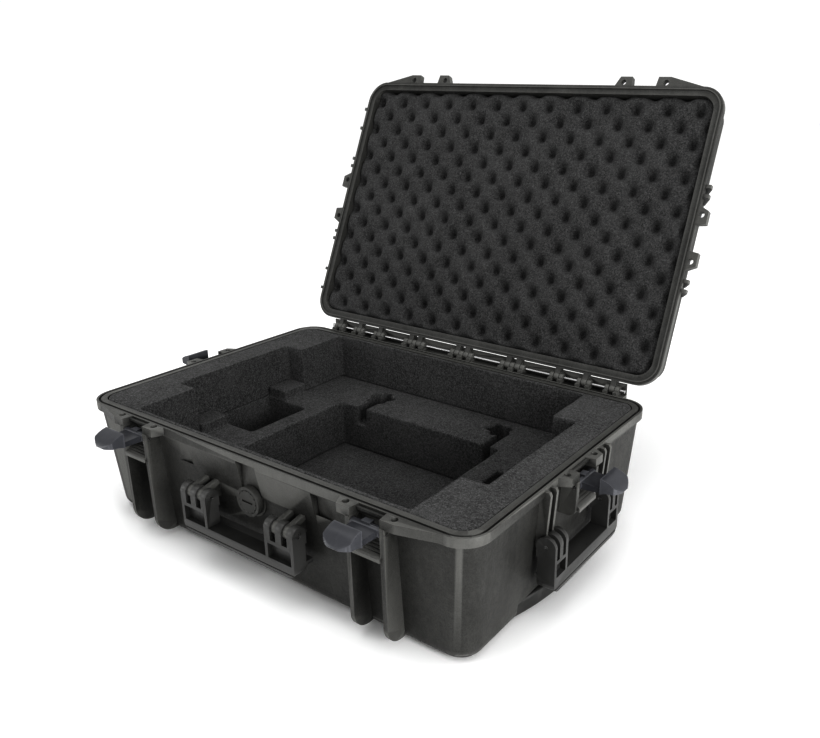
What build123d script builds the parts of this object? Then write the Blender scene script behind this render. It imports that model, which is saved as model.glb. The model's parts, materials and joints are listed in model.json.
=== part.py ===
from build123d import *

import math
import os

# A wheeled hard carrying case for a drone, open, with cut foam in the base and egg-crate
# foam in the lid. Millimetres. +Z is up, X runs along the long front face, and the front
# faces -Y. The origin is the centre of the base's underside.

# ---------------------------------------------------------------- driving dimensions
HALF_LENGTH = 330.0          # to the flange's edge, along X
HALF_DEPTH = 220.0           # to the flange's edge, along Y
CORNER_R = 35.0              # flange corner
RIM_Z = 168.0                # top of the base, where the lid meets it
FLANGE_T = 12.0              # base flange
WALL_T = 4.0                 # floor, lid top and the covers over the wells
WALL_INSET = 5.5             # outer wall behind the flange's edge, just under the flange
DRAFT = 0.069                # how far the wall leans in per mm of depth
BOTTOM_R = 18.0              # round along the base's bottom edge
RIM_W = 14.0                 # flange edge to the cavity's mouth
CAVITY_LOW_INSET = 20.3      # flange edge to the cavity's wall at the floor
CAVITY_CORNER_R = (20.0, 22.0)   # at the floor and at the mouth
LID_CAVITY_CORNER_R = (22.0, 18.0)

LID_GAP = 0.3                # between the closed lid and the rim
LID_FLANGE_T = 9.7
LID_TOP_Z = 226.0            # of the closed lid
LID_WALL_INSET = 8.0
LID_TOP_R = 14.0
LID_OPEN = 114.2             # degrees from closed to the resting open pose
LID_RECESS = (420.0, 230.0, 3.0)
LID_RECESS_R = 20.0

HINGE_Y = 233.0
HINGE_Z = 172.0
HINGE_ROD_R = 2.5
HINGE_ROD_REACH = 285.0
HINGE_RUN = 0.05             # radial clearance of a running fit
KNUCKLE_R = 6.0
KNUCKLE_GAP = 0.8            # between neighbouring knuckles, along the rod
LONG_HINGES = (-97.0, 0.0, 97.0)
SHORT_HINGES = (-266.0, -221.0, -175.0, 175.0, 221.0, 266.0)
LONG_HINGE_BASE = ((-22.0, -14.4), (-3.8, 3.8), (14.4, 22.0))
LONG_HINGE_LID = ((-13.6, -4.6), (4.6, 13.6))
SHORT_HINGE_BASE = ((-11.0, -5.0), (5.0, 11.0))
SHORT_HINGE_LID = ((-4.2, 4.2),)
HINGE_WEB_Z = (158.0, 165.4)     # shelf under the rod
HINGE_RAIL_Y = (238.2, 240.2)    # low wall behind the rod, between the lid's knuckles
HINGE_RAIL_TOP = 181.6

GROOVE_AT = 4.5              # centre of the seal groove from the flange's edge
GROOVE_W = 3.0
GROOVE_DEEP = 4.5
SEAL_W = 2.6
SEAL_H = 2.2
TONGUE_W = 2.0
TONGUE_H = 1.7

LATCH_X = 202.0              # front latches, each side of the centre
EAR_OUT = 14.0               # how far the latch ears stand out of the flange
EAR_T = 11.0
EAR_FLAT = (21.0, 40.0)      # along the edge, from the latch's centre
EAR_FOOT = 47.0
EAR_ROOT_IN = 2.0            # how much nearer the latch the ears are at their root
EAR_RAMP_FOOT = 92.0         # the long ramp beside each front corner
PADLOCK_AT = 34.0            # padlock hole from the latch's centre
PADLOCK_OUT = 5.0            # padlock hole from the flange's edge
PADLOCK_R = 4.25
COLUMN = (21.0, 27.0)        # ribs beside each latch
COLUMN_OUT = 15.0
COLUMN_DRAFT = 2.0
FRONT_COLUMN_FOOT = 8.0
SIDE_COLUMN_FOOT = 112.0
FRONT_COLUMN_FOOT_R = 24.0
SIDE_COLUMN_FOOT_R = 8.0
SHELF_OUT = 16.5             # finger ledge under each latch
SHELF_TOP = 122.0
SHELF_SLOPE = 0.56
SHELF_T = 8.0
SHELF_EDGE_H = 6.0
SHELF_CHAMFER = 1.5
SHELF_GROOVES = 4
SHELF_GROOVE_PITCH = 3.6
SHELF_GROOVE_FIRST = 5.0     # behind the ledge's edge
SHELF_GROOVE = (1.6, 1.1)    # width and depth
KEEPER_OUT = (-5.0, -1.5)    # bar across the latch's bay, under the rim
KEEPER_Z = (163.0, 166.0)

LEVER_PIVOT = (10.0, 150.0)  # outward from the flange's edge, and up
LEVER_PIN_R = 2.5
LEVER_HUB_R = 6.0
LEVER_HUB_HALF = 20.4
LEVER_ARM_HALF = 17.0
LEVER_HEAD_HALF = 19.0
LEVER_TIP_OUT = 63.0
LEVER_TIP_ARC = 29.0
LEVER_HEAD_ROOT = 28.6       # start of the head, from the pivot
LEVER_HEAD_RISE = (-4.0, 16.0)
LEVER_TIP_T = 1.5
LEVER_CROWN = (0.55, 0.72)   # a point of the head's top, as fractions of its reach and rise
LEVER_ARM_END = 32.0
LEVER_ARM_ROOT_RISE = (-5.0, 4.0)
LEVER_ARM_END_RISE = 3.0
LEVER_STOP = (-5.0, 3.0)     # rib over the hub, outward from the pivot
LEVER_STOP_RISE = 8.0
LEVER_STOP_HALF = 6.0
LEVER_POCKET = (9.0, 26.0)   # lightening pockets under the arm, from the pivot
LEVER_POCKET_X = (3.0, 14.0)
LEVER_POCKET_LOW = -9.0

SIDE_RIBS = (62.0, 76.0)     # pairs beside the end latches
WHEEL_RIBS = (134.0, 170.0)  # over the wheels, on the left end only
RIB_T = 5.0
RIB_OUT = 8.0
RIB_ROOT = 2.0               # how far a rib's back is inside the wall
RIB_TOP = 164.0
RIB_CHAMFER = (2.0, 4.0)
RIB_FOOT = (1.0, 6.0)
WHEEL_RIB_OUT = 3.0
WHEEL_RIB_LOW = 32.0
LID_RIB_Z = (3.0, 11.0)      # full-width part of a lid rib, above the closed lid's face
LID_RIB_TIP = (-9.0, -14.0)
LID_RIB_ROOT = 4.0
LID_RIB_TOP = 214.0

PIN_SEAT = 0.02              # clearance of a fixed pin in its seat
SIDE_GAP = 0.5               # between cheeks and lugs along a pin

FRONT_HANDLE_PIVOT = (13.0, 104.0)   # outward from the flange's edge, and up
FRONT_HANDLE_PIN_R = 3.0
FRONT_CHEEKS = ((52.0, 62.0), (71.0, 81.0), (90.0, 100.0))
SIDE_HANDLE_PIVOT = (7.5, 98.0)
SIDE_HANDLE_PIN_R = 2.5
SIDE_CHEEKS = ((53.0, 59.0), (65.0, 73.0), (79.0, 84.0))
HANDLE_CORNER_R = 12.0
FRONT_HANDLE_ARM_R = 10.5
SIDE_HANDLE_ARM_R = 12.5
FRONT_GRIP_Z = (50.0, 66.0)
SIDE_GRIP_Z = (40.0, 60.0)
FRONT_GRIP_BACK = -6.0
SIDE_GRIP_BACK = -5.0
HANDLE_ARM_DROP = 3.0        # cheeks' roots below the pivot's round
HANDLE_ARM_THIN = 2.0
HANDLE_RIM = 5.0             # frame around each arm's window
HANDLE_WINDOW_LOW = 9.0
HANDLE_FACE_T = 7.0
HANDLE_TOP_T = 5.0
HANDLE_LIP = (12.0, 3.0)
HANDLE_GROOVE = (4.0, 5.4)   # line around the grip, above its underside
FRONT_LUG_R = 8.5
SIDE_LUG_R = 8.0
FRONT_LUG_RISE = 14.0
SIDE_LUG_RISE = 20.0
PIN_END = 1.0                # a handle's pin ends this far inside its outer cheeks

PANEL_HALF = 108.0           # raised panel in the middle of the front
PANEL_LOW = 112.0
CHANNEL_HALF = 17.0          # the drain channel above the valve
CHANNEL_DEEP = 10.5
CHANNEL_ROOF = 8.0
HOLLOW_DEEP = 4.5            # beside the panel, under the flange
HOLLOW_W = 30.0
VALVE_Z = 110.0
VALVE_R = 19.5
VALVE_OUT = 1.0
VALVE_STEM_HOLE_R = 8.3
VALVE_STEM_R = 8.0
VALVE_WASHER_BORE = 8.1
VALVE_WASHER_R = 16.5
VALVE_WASHER_T = 1.0
VALVE_INNER = 7.0            # the body's stem ends this far inside the wall
VALVE_CUP_R = 15.5
VALVE_CUP_DEEP = 4.0
KNOB_R = 15.1
KNOB_FACE = (0.4, 3.6)       # behind the valve's face
KNOB_STEM_R = 2.5
KNOB_STEM_BORE = 2.55
KNOB_STEM_END = 4.0
KNOB_NOTCHES = 12
KNOB_NOTCH_R = 1.2
KNOB_NOTCH_AT = 15.3
KNOB_NOTCH_DEEP = 2.4
KNOB_SLOT = (9.0, 1.3, 1.0)  # half length, half width and depth

WHEEL_X = -296.0
WHEEL_Y = 152.0
WHEEL_Z = 28.0
WHEEL_R = 25.0
WHEEL_W = 26.0
HUB_R = 17.0
HUB_RIM = 3.0                # hub's rim around the hollow in each face
HUB_HOLLOW = 4.0
HUB_BOSS_R = 7.0
TYRE_ROUND = 4.0
AXLE_R = 4.0
WELL_HALF = 15.5
WELL_X = -264.0
WELL_TOP = 58.0

TUBE_Y = 80.0
TUBE_Z = 7.5
TUBE_R = 4.8
TUBE_BORE = 3.8
SLEEVE_R = 6.2
SLEEVE_GAP = 0.2
TUBE_X = (-248.0, 305.0)
SLEEVE_X = (-252.0, 292.0)
TUNNEL_HALF = 15.0
TUNNEL_TOP = 14.0
TUNNEL_ROOF = 3.0
CLAMP_X = (-200.0, 20.0, 240.0)
CLAMP_L = 18.0
CLAMP_ROOF_GAP = 0.1
CLAMP_Z = 1.0
SCREW_AT = 10.5              # clamp screws, each side of the tube
SCREW_R = 1.75
SCREW_Z = (2.0, 16.0)
SCREW_SEAT = (3.2, 3.0)      # radius and depth
SCREW_HEAD = (3.0, 1.8)
SCREW_SLOT = (4.4, 0.8, 1.0)
GRIP_HALF = 104.0
GRIP_X = (300.0, 325.5)      # back and crown of the pull-out grip
GRIP_END_X = 310.0
GRIP_Z = (3.0, 24.0)
GRIP_ROUND = 4.0
GRIP_SCOOP = (50.0, 14.0, 5.0)   # half width, depth and roof of the finger hollow
TUBE_PLUG = 6.0              # solid end of each tube, in the grip
GRIP_ROOM = 1.0

FOAM_GAP = 0.4
FLOOR_FOAM_TOP = 20.0
LOW_FOAM_TOP = 62.0
MID_FOAM_TOP = 94.0
LEDGE_TOP = 110.0
POCKET_R = 4.0               # cutter radius in the foam's corners
OPENING_MAIN = (237.0, 199.0)
OPENING_WINGS = (273.0, 106.0)
LEDGE_X = -232.0             # two raised ledges in the left wing, up to this X
LEDGE_Y = 58.0               # and from this far each side of the middle
POCKET_HALF = 153.0          # the deep central pocket
POCKET_Y = (-190.0, 108.0)
LEFT_POCKET_X = (-273.0, -184.0)
LEFT_POCKET_Y = (-55.0, 56.0)
LEFT_POCKET_FLOOR = 40.0
FOAM_SLOTS = (               # (X span, Y span)
    ((-121.5, -102.5), (100.0, 160.0)),
    ((123.0, 136.0), (100.0, 164.0)),
    ((187.5, 198.5), (11.5, 51.0)),
)
HUB_LOBES = 5
HUB_RECESSES = (             # (centre, radius, lobe radius, turn)
    ((-113.5, 160.0), 17.0, 7.5, 20),
    ((116.5, 166.0), 15.0, 6.5, 50),
)
LID_FOAM_Z = (172.0, 221.6)  # egg-crate crests and back, lid closed

EPS = 0.5                    # overlap that fuses two shapes of one solid


# ---------------------------------------------------------------- small helpers
def block(x, y, z):
    """A box from (low, high) pairs."""
    size = [high - low for low, high in (x, y, z)]
    middle = [(high + low) / 2 for low, high in (x, y, z)]
    return Pos(*middle) * Box(*size)


def cylinder_x(radius, x, y, z):
    return Pos((x[0] + x[1]) / 2, y, z) * Rot(0, 90, 0) * Cylinder(radius, x[1] - x[0])


def cylinder_y(radius, x, y, z):
    return Pos(x, (y[0] + y[1]) / 2, z) * Rot(90, 0, 0) * Cylinder(radius, y[1] - y[0])


def prism_x(outline, x):
    """Extrude an outline of (outward, up) points along X; outward is -Y."""
    corners = [(x[0], -out, up) for out, up in outline]
    return extrude(make_face(Polyline(corners, close=True)), amount=x[1] - x[0], dir=(1, 0, 0))


def prism_z(outline, z):
    """Extrude an outline of (along, outward) points upward; outward is -Y."""
    corners = [(along, -out, z[0]) for along, out in outline]
    return extrude(make_face(Polyline(corners, close=True)), amount=z[1] - z[0], dir=(0, 0, 1))


def plate(inset, radius, z):
    """A rounded rectangle the size of the flange, less the inset, at height z."""
    size = (2 * (HALF_LENGTH - inset), 2 * (HALF_DEPTH - inset))
    return Pos(0, 0, z) * RectangleRounded(*size, radius)


def slab(inset, radius, z):
    return extrude(plate(inset, radius, z[0]), amount=z[1] - z[0])


def tapered(low, high):
    """A ruled solid between two (inset, radius, z) rounded rectangles."""
    return loft([plate(*low), plate(*high)], ruled=True)


def wall_out(z):
    """Outward place of the base's outer wall at height z (negative: behind the flange)."""
    return -WALL_INSET - DRAFT * (RIM_Z - FLANGE_T - z)


def mirrored(spans):
    """The same spans on both sides of zero."""
    return [span for low, high in spans for span in ((-high, -low), (low, high))]


def ring_groove(centre, width, z):
    """A band that follows the flange's edge at a distance."""
    outer = slab(centre - width / 2, CORNER_R - centre + width / 2, z)
    inner = slab(centre + width / 2, CORNER_R - centre - width / 2, z)
    return outer - inner


FRONT = Location((0, -HALF_DEPTH, 0))
LEFT_END = Location((-HALF_LENGTH, 0, 0), (0, 0, -90))
RIGHT_END = Location((HALF_LENGTH, 0, 0), (0, 0, 90))
STATIONS = {
    "front_left": Location((-LATCH_X, -HALF_DEPTH, 0)),
    "front_right": Location((LATCH_X, -HALF_DEPTH, 0)),
    "left_end": LEFT_END,
    "right_end": RIGHT_END,
}
RAMP_SIDE = {"front_left": -1, "front_right": 1, "left_end": 0, "right_end": 0}
FRONT_STATIONS = ("front_left", "front_right")


# ---------------------------------------------------------------- features at a latch
def ears(ramp_side, z):
    """Two padlock ears; the one on the ramp side runs out in a long ramp."""
    flat_in, flat_out = EAR_FLAT
    shape = None
    for side in (-1, 1):
        foot = EAR_RAMP_FOOT if side == ramp_side else EAR_FOOT
        outline = [
            (side * (flat_in - EAR_ROOT_IN), -2 * EPS),
            (side * flat_in, EAR_OUT),
            (side * flat_out, EAR_OUT),
            (side * foot, 0),
            (side * foot, -2 * EPS),
        ]
        ear = prism_z(outline, z)
        ear -= Pos(side * PADLOCK_AT, -PADLOCK_OUT, (z[0] + z[1]) / 2) * Cylinder(PADLOCK_R, 2 * EAR_T)
        shape = ear if shape is None else shape + ear
    return shape


def column(span, foot_z, foot_r):
    """A rib beside a latch, from the ears down to a rounded foot."""
    top = RIM_Z - EAR_T + EPS
    outline = [
        (wall_out(foot_z) - WALL_T / 2, top),
        (COLUMN_OUT, top),
        (COLUMN_OUT - COLUMN_DRAFT, foot_z),
        (wall_out(foot_z) - WALL_T / 2, foot_z),
    ]
    rib = prism_x(outline, span)
    toe = rib.edges().filter_by(Axis.X).sort_by(Axis.Z)[:2].sort_by(Axis.Y)[0]
    return fillet(toe, foot_r)


def shelf():
    """The ridged finger ledge between the columns."""
    back = wall_out(SHELF_TOP) - WALL_T / 2
    crest = SHELF_OUT - SHELF_CHAMFER
    rise = (crest - back) * SHELF_SLOPE
    outline = [
        (back, SHELF_TOP + rise),
        (crest, SHELF_TOP),
        (SHELF_OUT, SHELF_TOP - SHELF_CHAMFER),
        (SHELF_OUT, SHELF_TOP - SHELF_EDGE_H),
        (back, SHELF_TOP + rise - SHELF_T),
    ]
    ledge = prism_x(outline, (-COLUMN[0] - EPS, COLUMN[0] + EPS))
    half = COLUMN[0] - 2
    width, deep = SHELF_GROOVE
    for index in range(SHELF_GROOVES):
        out = SHELF_OUT - SHELF_GROOVE_FIRST - SHELF_GROOVE_PITCH * index
        up = SHELF_TOP + (crest - out) * SHELF_SLOPE
        floor = up - deep
        back_floor = floor + width * SHELF_SLOPE
        groove = [(out, up + 2), (out, floor), (out - width, back_floor), (out - width, up + 3)]
        ledge -= prism_x(groove, (-half, half))
    return ledge


def base_station(name):
    """Everything of the base shell around one latch, in the station's own frame."""
    foot = (SIDE_COLUMN_FOOT, SIDE_COLUMN_FOOT_R)
    if name in FRONT_STATIONS:
        foot = (FRONT_COLUMN_FOOT, FRONT_COLUMN_FOOT_R)
    shape = ears(RAMP_SIDE[name], (RIM_Z - EAR_T, RIM_Z)) + shelf()
    for span in mirrored([COLUMN]):
        shape += column(span, *foot)
    shape += block((-COLUMN[0] - EPS, COLUMN[0] + EPS), KEEPER_OUT, KEEPER_Z)
    out, up = LEVER_PIVOT
    return shape - cylinder_x(LEVER_PIN_R + PIN_SEAT, (-COLUMN[1] - 1, COLUMN[1] + 1), -out, up)


def lever_head():
    """Finger paddle: a crowned top that curls down to the tip, and a hollowed underside."""
    out, up = LEVER_PIVOT
    low, high = LEVER_HEAD_RISE

    def at(along, rise):
        return (-LEVER_HEAD_HALF, -(out + along), up + rise)

    root, tip = LEVER_HEAD_ROOT, LEVER_TIP_OUT - out
    reach = tip - root
    crown = at(root + LEVER_CROWN[0] * reach, LEVER_CROWN[1] * high)
    outline = [
        Line(at(root, low), at(root, high)),
        Spline(at(root, high), crown, at(tip, LEVER_TIP_T)),
        Line(at(tip, LEVER_TIP_T), at(tip - 1, 0)),
        ThreePointArc(at(tip - 1, 0), at(root + reach / 2, 0), at(root, low)),
    ]
    head = extrude(make_face(outline), amount=2 * LEVER_HEAD_HALF, dir=(1, 0, 0))
    return head & Pos(0, -(LEVER_TIP_OUT - LEVER_TIP_ARC), up) * Cylinder(LEVER_TIP_ARC, 4 * high)


def latch_lever():
    """Snap lever, swung out level. It closes by swinging up over the lid's flange."""
    out, up = LEVER_PIVOT
    end = out + LEVER_ARM_END
    low, high = LEVER_ARM_ROOT_RISE
    profile = [
        (out, up + low),
        (end, up - LEVER_ARM_END_RISE),
        (end, up + LEVER_ARM_END_RISE),
        (out, up + high),
    ]
    lever = prism_x(profile, (-LEVER_ARM_HALF, LEVER_ARM_HALF)) + lever_head()
    lever += cylinder_x(LEVER_HUB_R, (-LEVER_HUB_HALF, LEVER_HUB_HALF), -out, up)
    stop_y = (-out - LEVER_STOP[1], -out - LEVER_STOP[0])
    lever += block((-LEVER_STOP_HALF, LEVER_STOP_HALF), stop_y, (up, up + LEVER_STOP_RISE))
    # Two lightening pockets under the arm leave a web in the middle.
    pocket_y = (-out - LEVER_POCKET[1], -out - LEVER_POCKET[0])
    for span in mirrored([LEVER_POCKET_X]):
        lever -= block(span, pocket_y, (up + LEVER_POCKET_LOW, up))
    bore = (-LEVER_HUB_HALF - 1, LEVER_HUB_HALF + 1)
    return lever - cylinder_x(LEVER_PIN_R + HINGE_RUN, bore, -out, up)


def latch_pins():
    pin = cylinder_x(LEVER_PIN_R, (-COLUMN[1], COLUMN[1]), -LEVER_PIVOT[0], LEVER_PIVOT[1])
    return Compound([station * pin for station in STATIONS.values()])


# ---------------------------------------------------------------- ribs on the ends
def base_rib(at, low, out=RIB_OUT):
    back = wall_out(low) - RIB_ROOT
    outline = [
        (back, RIB_TOP),
        (out - RIB_CHAMFER[0], RIB_TOP),
        (out, RIB_TOP - RIB_CHAMFER[1]),
        (out + wall_out(low) - wall_out(RIB_TOP), low + RIB_FOOT[1]),
        (wall_out(low) + RIB_FOOT[0], low),
        (back, low),
    ]
    return prism_x(outline, (at - RIB_T / 2, at + RIB_T / 2))


def lid_rib(at):
    low, high = [RIM_Z + LID_GAP + rise for rise in LID_RIB_Z]
    outline = [
        (-LID_WALL_INSET - LID_RIB_ROOT, low),
        (RIB_OUT, low),
        (RIB_OUT, high),
        (LID_RIB_TIP[0], LID_RIB_TOP),
        (LID_RIB_TIP[1], LID_RIB_TOP),
    ]
    return prism_x(outline, (at - RIB_T / 2, at + RIB_T / 2))


def end_ribs(place, make, places):
    shape = None
    for at in places:
        for side in (-1, 1):
            rib = place * make(side * at)
            shape = rib if shape is None else shape + rib
    return shape


# ---------------------------------------------------------------- handles
def cheek(pivot, radius, span, low):
    """A rounded cheek around a pivot, running down to a height."""
    out, up = pivot
    round_top = cylinder_x(radius, span, -out, up)
    return round_top + block(span, (-out - radius, -out + radius), (low, up))


def handle(pivot, pin_r, cheeks, radius, grip_z, grip_back):
    """A folding carry handle, hanging: two arms of three cheeks and a hollow grip."""
    out, up = pivot
    inner = cheeks[0][0]
    outer = cheeks[-1][1]
    front = out + radius
    arm_top = up - radius - HANDLE_ARM_DROP
    grip_low, grip_high = grip_z
    shape = None
    for low, high in mirrored([(inner, outer)]):
        arm = block((low, high), (-front, -out + radius - HANDLE_ARM_THIN), (grip_low, arm_top))
        window = (low + HANDLE_RIM, high - HANDLE_RIM)
        height = (grip_low + HANDLE_WINDOW_LOW, arm_top - HANDLE_RIM)
        arm -= block(window, (-front - 1, -front + HANDLE_FACE_T), height)
        shape = arm if shape is None else shape + arm
    for span in mirrored(cheeks):
        shape += cheek(pivot, radius, span, arm_top - EPS)
    width = (-outer, outer)
    lip_reach, lip_t = HANDLE_LIP
    shape += block(width, (-front, -grip_back), (grip_high - HANDLE_TOP_T, grip_high))
    shape += block(width, (-front, -front + HANDLE_FACE_T), grip_z)
    shape += block(width, (-front, -front + lip_reach), (grip_low, grip_low + lip_t))
    limit = block(width, (-front - 1, -out + 2 * radius), (grip_low, up + radius + 1))
    shape &= fillet(limit.edges().filter_by(Axis.Y).group_by(Axis.Z)[0], HANDLE_CORNER_R)
    around = (-outer - 1, outer + 1)
    line_z = (grip_low + HANDLE_GROOVE[0], grip_low + HANDLE_GROOVE[1])
    shape -= block(around, (-front - 1, -front + 1), line_z)
    return shape - cylinder_x(pin_r + HINGE_RUN, around, -out, up)


def front_handle():
    return FRONT * handle(FRONT_HANDLE_PIVOT, FRONT_HANDLE_PIN_R, FRONT_CHEEKS, FRONT_HANDLE_ARM_R,
                          FRONT_GRIP_Z, FRONT_GRIP_BACK)


def side_handle():
    return RIGHT_END * handle(SIDE_HANDLE_PIVOT, SIDE_HANDLE_PIN_R, SIDE_CHEEKS, SIDE_HANDLE_ARM_R,
                              SIDE_GRIP_Z, SIDE_GRIP_BACK)


def handle_pins(place, pivot, pin_r, cheeks):
    span = (cheeks[0][0] + PIN_END, cheeks[-1][1] - PIN_END)
    return Compound([place * cylinder_x(pin_r, side, -pivot[0], pivot[1]) for side in mirrored([span])])


def lug_spans(cheeks):
    """The gaps between cheeks, less the side clearance."""
    return [(a[1] + SIDE_GAP, b[0] - SIDE_GAP) for a, b in zip(cheeks, cheeks[1:])]


def lug(pivot, radius, span, rise):
    """A lug out of the base's wall that carries a handle's pin."""
    out, up = pivot
    back = wall_out(up) - WALL_T / 2
    web = prism_x([(back, up - radius), (out, up - radius), (out, up + radius), (back, up + rise)], span)
    return web + cylinder_x(radius, span, -out, up)


def handle_lugs(place, pivot, radius, cheeks, rise):
    shape = None
    for span in mirrored(lug_spans(cheeks)):
        piece = place * lug(pivot, radius, span, rise)
        shape = piece if shape is None else shape + piece
    return shape


def handle_bore(place, pivot, pin_r, reach):
    return place * cylinder_x(pin_r + PIN_SEAT, (-reach, reach), -pivot[0], pivot[1])


# ---------------------------------------------------------------- valve
def valve_parts():
    """Pressure valve: a flanged body through the wall, its washer and its knob."""
    seat = wall_out(VALVE_Z) + VALVE_WASHER_T
    back = seat + VALVE_WASHER_T + HINGE_RUN
    inner = wall_out(VALVE_Z) - VALVE_INNER
    face = VALVE_OUT
    washer = cylinder_y(VALVE_WASHER_R, 0, (-seat - VALVE_WASHER_T, -seat), VALVE_Z)
    washer -= cylinder_y(VALVE_WASHER_BORE, 0, (-seat - 2, -seat + 1), VALVE_Z)
    body = cylinder_y(VALVE_R, 0, (-face, -back), VALVE_Z)
    body += cylinder_y(VALVE_STEM_R, 0, (-back - 1, -inner), VALVE_Z)
    body -= cylinder_y(VALVE_CUP_R, 0, (-face - 1, -face + VALVE_CUP_DEEP), VALVE_Z)
    body -= cylinder_y(KNOB_STEM_BORE, 0, (-face - 1, -inner - KNOB_STEM_END + 1), VALVE_Z)
    knob = cylinder_y(KNOB_R, 0, (-face - KNOB_FACE[0], -face + KNOB_FACE[1]), VALVE_Z)
    knob += cylinder_y(KNOB_STEM_R, 0, (-face, -inner - KNOB_STEM_END), VALVE_Z)
    for index in range(KNOB_NOTCHES):
        notch = cylinder_y(KNOB_NOTCH_R, KNOB_NOTCH_AT, (-face - 1, -face + KNOB_NOTCH_DEEP), 0)
        knob -= Pos(0, 0, VALVE_Z) * Rot(0, 360 * index / KNOB_NOTCHES, 0) * notch
    half_l, half_w, deep = KNOB_SLOT
    knob -= block((-half_l, half_l), (-face - 1, -face + deep), (VALVE_Z - half_w, VALVE_Z + half_w))
    return [FRONT * part for part in (body, washer, knob)]


# ---------------------------------------------------------------- shells
def knuckle_spans(long_spans, short_spans):
    """Where one side's knuckles are along the rod."""
    spans = [(at + low, at + high) for at in LONG_HINGES for low, high in long_spans]
    return spans + [(at + low, at + high) for at in SHORT_HINGES for low, high in short_spans]


def hinge_bore():
    return cylinder_x(HINGE_ROD_R + HINGE_RUN, (-HALF_LENGTH, HALF_LENGTH), HINGE_Y, HINGE_Z)


def base_hinge():
    """Base knuckles behind the flange, on a shelf with a low wall behind the rod."""
    root = HALF_DEPTH - 2 * EPS
    reach = (-HINGE_ROD_REACH, HINGE_ROD_REACH)
    shape = block(reach, (root, HINGE_RAIL_Y[1]), HINGE_WEB_Z)
    shape += block(reach, HINGE_RAIL_Y, (HINGE_WEB_Z[0], HINGE_RAIL_TOP))
    for low, high in knuckle_spans(LONG_HINGE_LID, SHORT_HINGE_LID):
        room = (low - KNUCKLE_GAP, high + KNUCKLE_GAP)
        shape -= block(room, (HINGE_Y, HINGE_RAIL_Y[1] + 1), (HINGE_WEB_Z[1], HINGE_RAIL_TOP + 1))
    for span in knuckle_spans(LONG_HINGE_BASE, SHORT_HINGE_BASE):
        shape += block(span, (root, HINGE_RAIL_Y[1]), (HINGE_WEB_Z[0], RIM_Z))
        shape += block(span, (HALF_DEPTH + 1, HINGE_Y), (HINGE_WEB_Z[0], HINGE_Z))
        shape += cylinder_x(KNUCKLE_R, span, HINGE_Y, HINGE_Z)
    return shape - hinge_bore()


def lid_hinge(low):
    """Lid knuckles, each with the arm that joins it to the closed lid's flange."""
    shape = None
    for span in knuckle_spans(LONG_HINGE_LID, SHORT_HINGE_LID):
        knuckle = cylinder_x(KNUCKLE_R, span, HINGE_Y, HINGE_Z)
        knuckle += block(span, (HALF_DEPTH - 2 * EPS, HINGE_Y), (low + 0.2, HINGE_Z + KNUCKLE_R))
        shape = knuckle if shape is None else shape + knuckle
    return shape - hinge_bore()


def base_cavity(gap):
    """The hollow in the base, less the covers over the wheels and the pull-out handle."""
    low_z = WALL_T + gap
    low_r, high_r = CAVITY_CORNER_R
    hollow = tapered((CAVITY_LOW_INSET + gap, low_r, low_z), (RIM_W + gap, high_r, RIM_Z + EPS))
    cover = WALL_T + gap
    for side in (-1, 1):
        y = (side * WHEEL_Y - WELL_HALF - cover, side * WHEEL_Y + WELL_HALF + cover)
        hollow -= block((-HALF_LENGTH, WELL_X + cover), y, (0, WELL_TOP + cover))
        y = (side * TUBE_Y - TUNNEL_HALF - cover, side * TUBE_Y + TUNNEL_HALF + cover)
        hollow -= block((SLEEVE_X[0] - 3 - cover, HALF_LENGTH), y, (0, TUNNEL_TOP + TUNNEL_ROOF + gap))
    recess_y = GRIP_HALF + GRIP_ROOM + 1 + cover
    hollow -= block((GRIP_X[0] - GRIP_ROOM - 1 - cover, HALF_LENGTH), (-recess_y, recess_y),
                    (0, GRIP_Z[1] + GRIP_ROOM + cover))
    return hollow


def base_body():
    """Drafted outer wall with a rounded bottom edge, and the flange."""
    top = RIM_Z - FLANGE_T
    wall = tapered((WALL_INSET + DRAFT * top, CORNER_R - 5, 0), (WALL_INSET, CORNER_R - 5, top + EPS))
    wall = fillet(wall.faces().sort_by(Axis.Z)[0].edges(), BOTTOM_R)
    return wall + slab(0, CORNER_R, (top, RIM_Z))


def front_panel():
    """The raised middle of the front, flush with the flange at its top."""
    top = RIM_Z - FLANGE_T + EPS
    outline = [(wall_out(PANEL_LOW) - 2, top), (0, top), (wall_out(PANEL_LOW), PANEL_LOW),
               (wall_out(PANEL_LOW) - 2, PANEL_LOW - 4)]
    return FRONT * prism_x(outline, (-PANEL_HALF, PANEL_HALF))


def drain_channel():
    """The recess above the valve, deepest under the flange."""
    floor = wall_out(VALVE_Z) + 1
    top = RIM_Z - CHANNEL_ROOF
    outline = [(floor, VALVE_Z), (-CHANNEL_DEEP, top), (5, top), (5, VALVE_Z)]
    return prism_x(outline, (-CHANNEL_HALF, CHANNEL_HALF))


def panel_hollows():
    """Beside the raised panel the wall falls back, most under the flange."""
    top = RIM_Z - FLANGE_T
    lean = Rot(math.degrees(math.atan2(HOLLOW_DEEP, top - PANEL_LOW)), 0, 0)
    hollows = None
    for side in (-1, 1):
        outline = [
            (side * PANEL_HALF, wall_out(top) + 1),
            (side * PANEL_HALF, wall_out(top) - HOLLOW_DEEP),
            (side * (PANEL_HALF + HOLLOW_W), wall_out(top) + 1),
        ]
        wedge = Pos(0, -wall_out(top), 0) * lean * Pos(0, wall_out(top), 0)
        wedge = Pos(0, 0, top) * wedge * prism_z(outline, (-2 * HOLLOW_W - 30, 0))
        hollows = wedge if hollows is None else hollows + wedge
    return hollows


def clamp_screw_places():
    return [(x + CLAMP_L / 2, side * TUBE_Y + offset) for x in CLAMP_X for side in (-1, 1)
            for offset in (-SCREW_AT, SCREW_AT)]


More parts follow.
